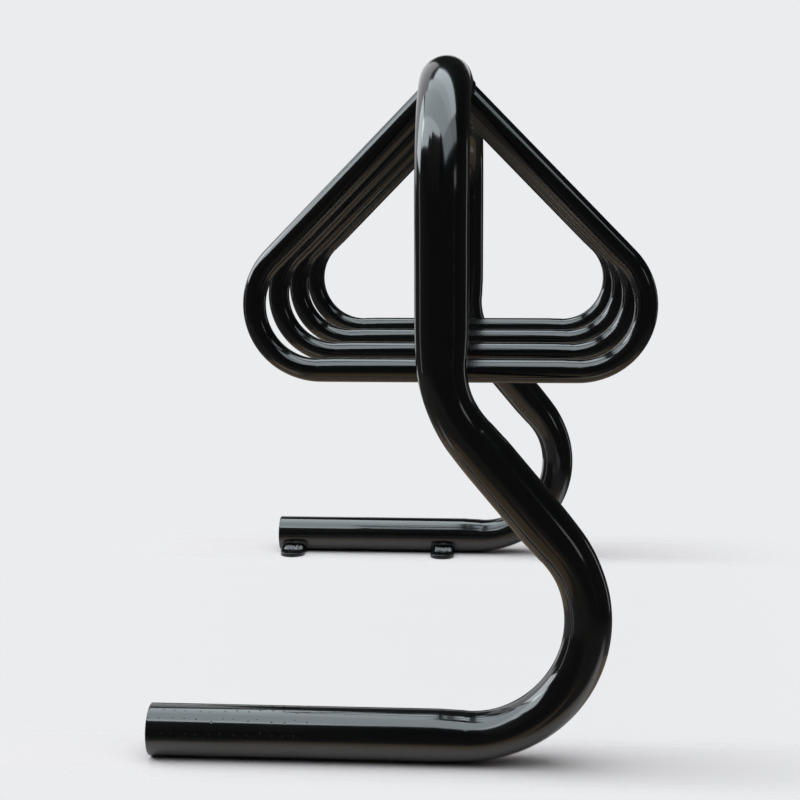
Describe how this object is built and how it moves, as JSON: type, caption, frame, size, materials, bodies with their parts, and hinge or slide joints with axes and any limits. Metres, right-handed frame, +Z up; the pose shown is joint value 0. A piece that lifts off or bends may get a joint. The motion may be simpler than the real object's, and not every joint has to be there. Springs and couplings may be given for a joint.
{
  "type": "bike rack",
  "caption": "Bicycle rack of bent black steel tube: S-shaped legs with long feet carry a top rail hung with triangular wheel loops; ears on the feet take ground anchors.",
  "frame": {"origin": "on the ground, below the middle of the rack's bounding box", "axes": "+Z up, Y along the top rail with the front leg at -Y, +X the side the heels bend out to, with the feet's open ends at -X"},
  "size_m": [0.59, 1.0598, 0.8012],
  "materials": {
    "gloss_black": "glossy black powder coat on steel",
    "bare_steel": "bare drawn tube, hidden inside the rail"
  },
  "bodies": {
    "root": {"front_frame_tube": "gloss_black", "rear_frame_tube": "gloss_black", "rail_seam_weld": "gloss_black", "wheel_loop_1": "gloss_black", "wheel_loop_2": "gloss_black", "wheel_loop_3": "gloss_black", "wheel_loop_4": "gloss_black", "wheel_loop_1_welds": "gloss_black", "wheel_loop_2_welds": "gloss_black", "wheel_loop_3_welds": "gloss_black", "wheel_loop_4_welds": "gloss_black", "front_toe_ear": "gloss_black", "front_heel_ear": "gloss_black", "rear_toe_ear": "gloss_black", "rear_heel_ear": "gloss_black", "front_toe_ear_weld": "gloss_black", "front_heel_ear_weld": "gloss_black", "rear_toe_ear_weld": "gloss_black", "rear_heel_ear_weld": "gloss_black", "front_foot_cap": "gloss_black", "rear_foot_cap": "gloss_black", "front_foot_cap_weld": "gloss_black", "rear_foot_cap_weld": "gloss_black", "rail_sleeve": "bare_steel"}
  },
  "joints": []
}
